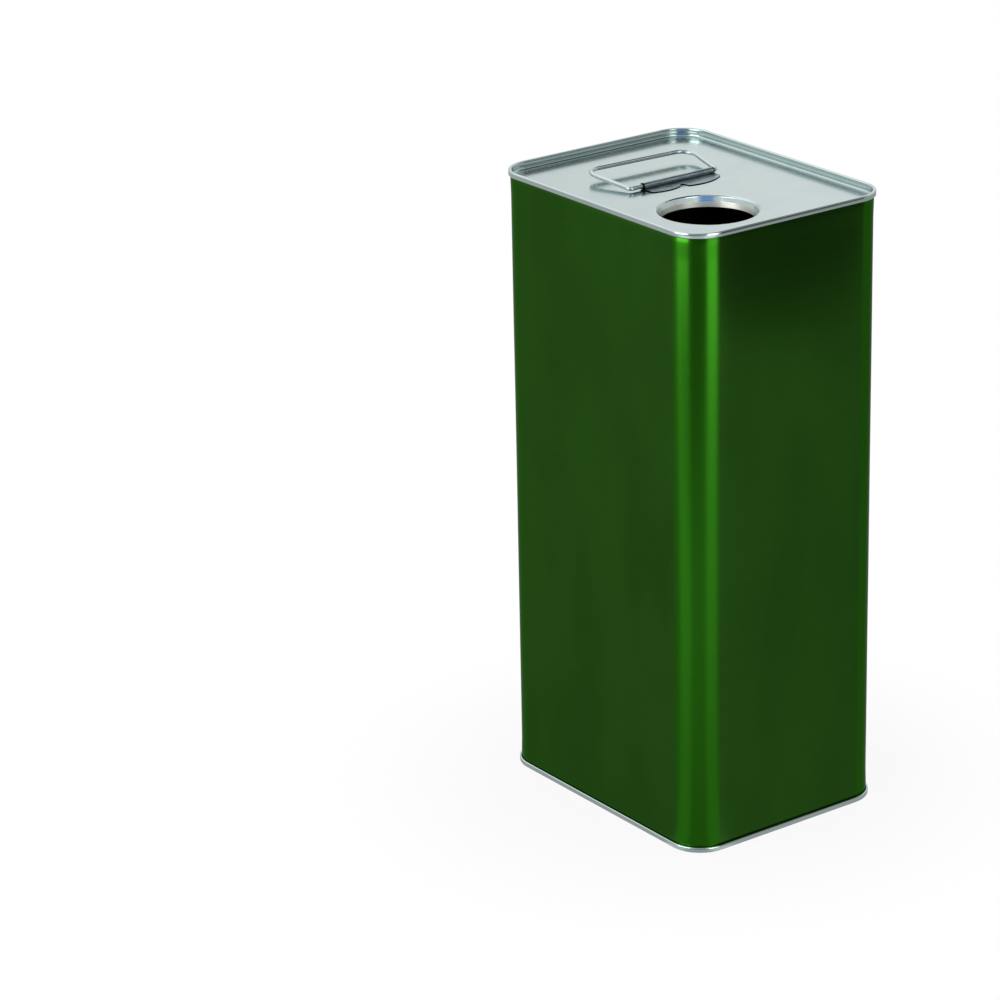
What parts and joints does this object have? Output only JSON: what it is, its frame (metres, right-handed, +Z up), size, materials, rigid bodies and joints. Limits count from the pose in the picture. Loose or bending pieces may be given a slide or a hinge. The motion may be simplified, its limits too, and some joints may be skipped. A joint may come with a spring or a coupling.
{
  "type": "olive oil tin",
  "caption": "Tall rectangular tinplate oil can with double-seamed ends, an off-centre round pouring mouth and a folding wire handle in a welded clip.",
  "frame": {"origin": "on the floor under the middle of the can: the centre of the lower seam's standing edge", "axes": "+Z up along the can's height, +X along the broad side towards the narrow face beside the mouth, +Y along the narrow side away from the mouth; the mouth is in the +X, -Y quarter and the handle's hinge runs along Y"},
  "size_m": [0.152, 0.119, 0.3124],
  "materials": {
    "green_lacquer": "transparent green lacquer over tinplate, semi-gloss with a fine horizontal grain",
    "tinplate": "bright tinplate, semi-gloss",
    "sealing_compound": "matt water-based sealing compound",
    "clip_steel": "tinplated sheet, satin",
    "wire_steel": "bright tinned wire"
  },
  "bodies": {
    "can": {"body_shell": "green_lacquer", "top_end": "tinplate", "bottom_end": "tinplate", "top_seam_compound": "sealing_compound", "bottom_seam_compound": "sealing_compound", "handle_clip": "clip_steel"},
    "handle": {"handle_wire": "wire_steel"}
  },
  "joints": [
    {"name": "handle_fold", "type": "hinge", "parent": "can", "child": "handle", "pos_m": [-0.0103, 0.0007, 0.3086], "axis": [0, 1, 0], "range_deg": [-5, 170]}
  ]
}
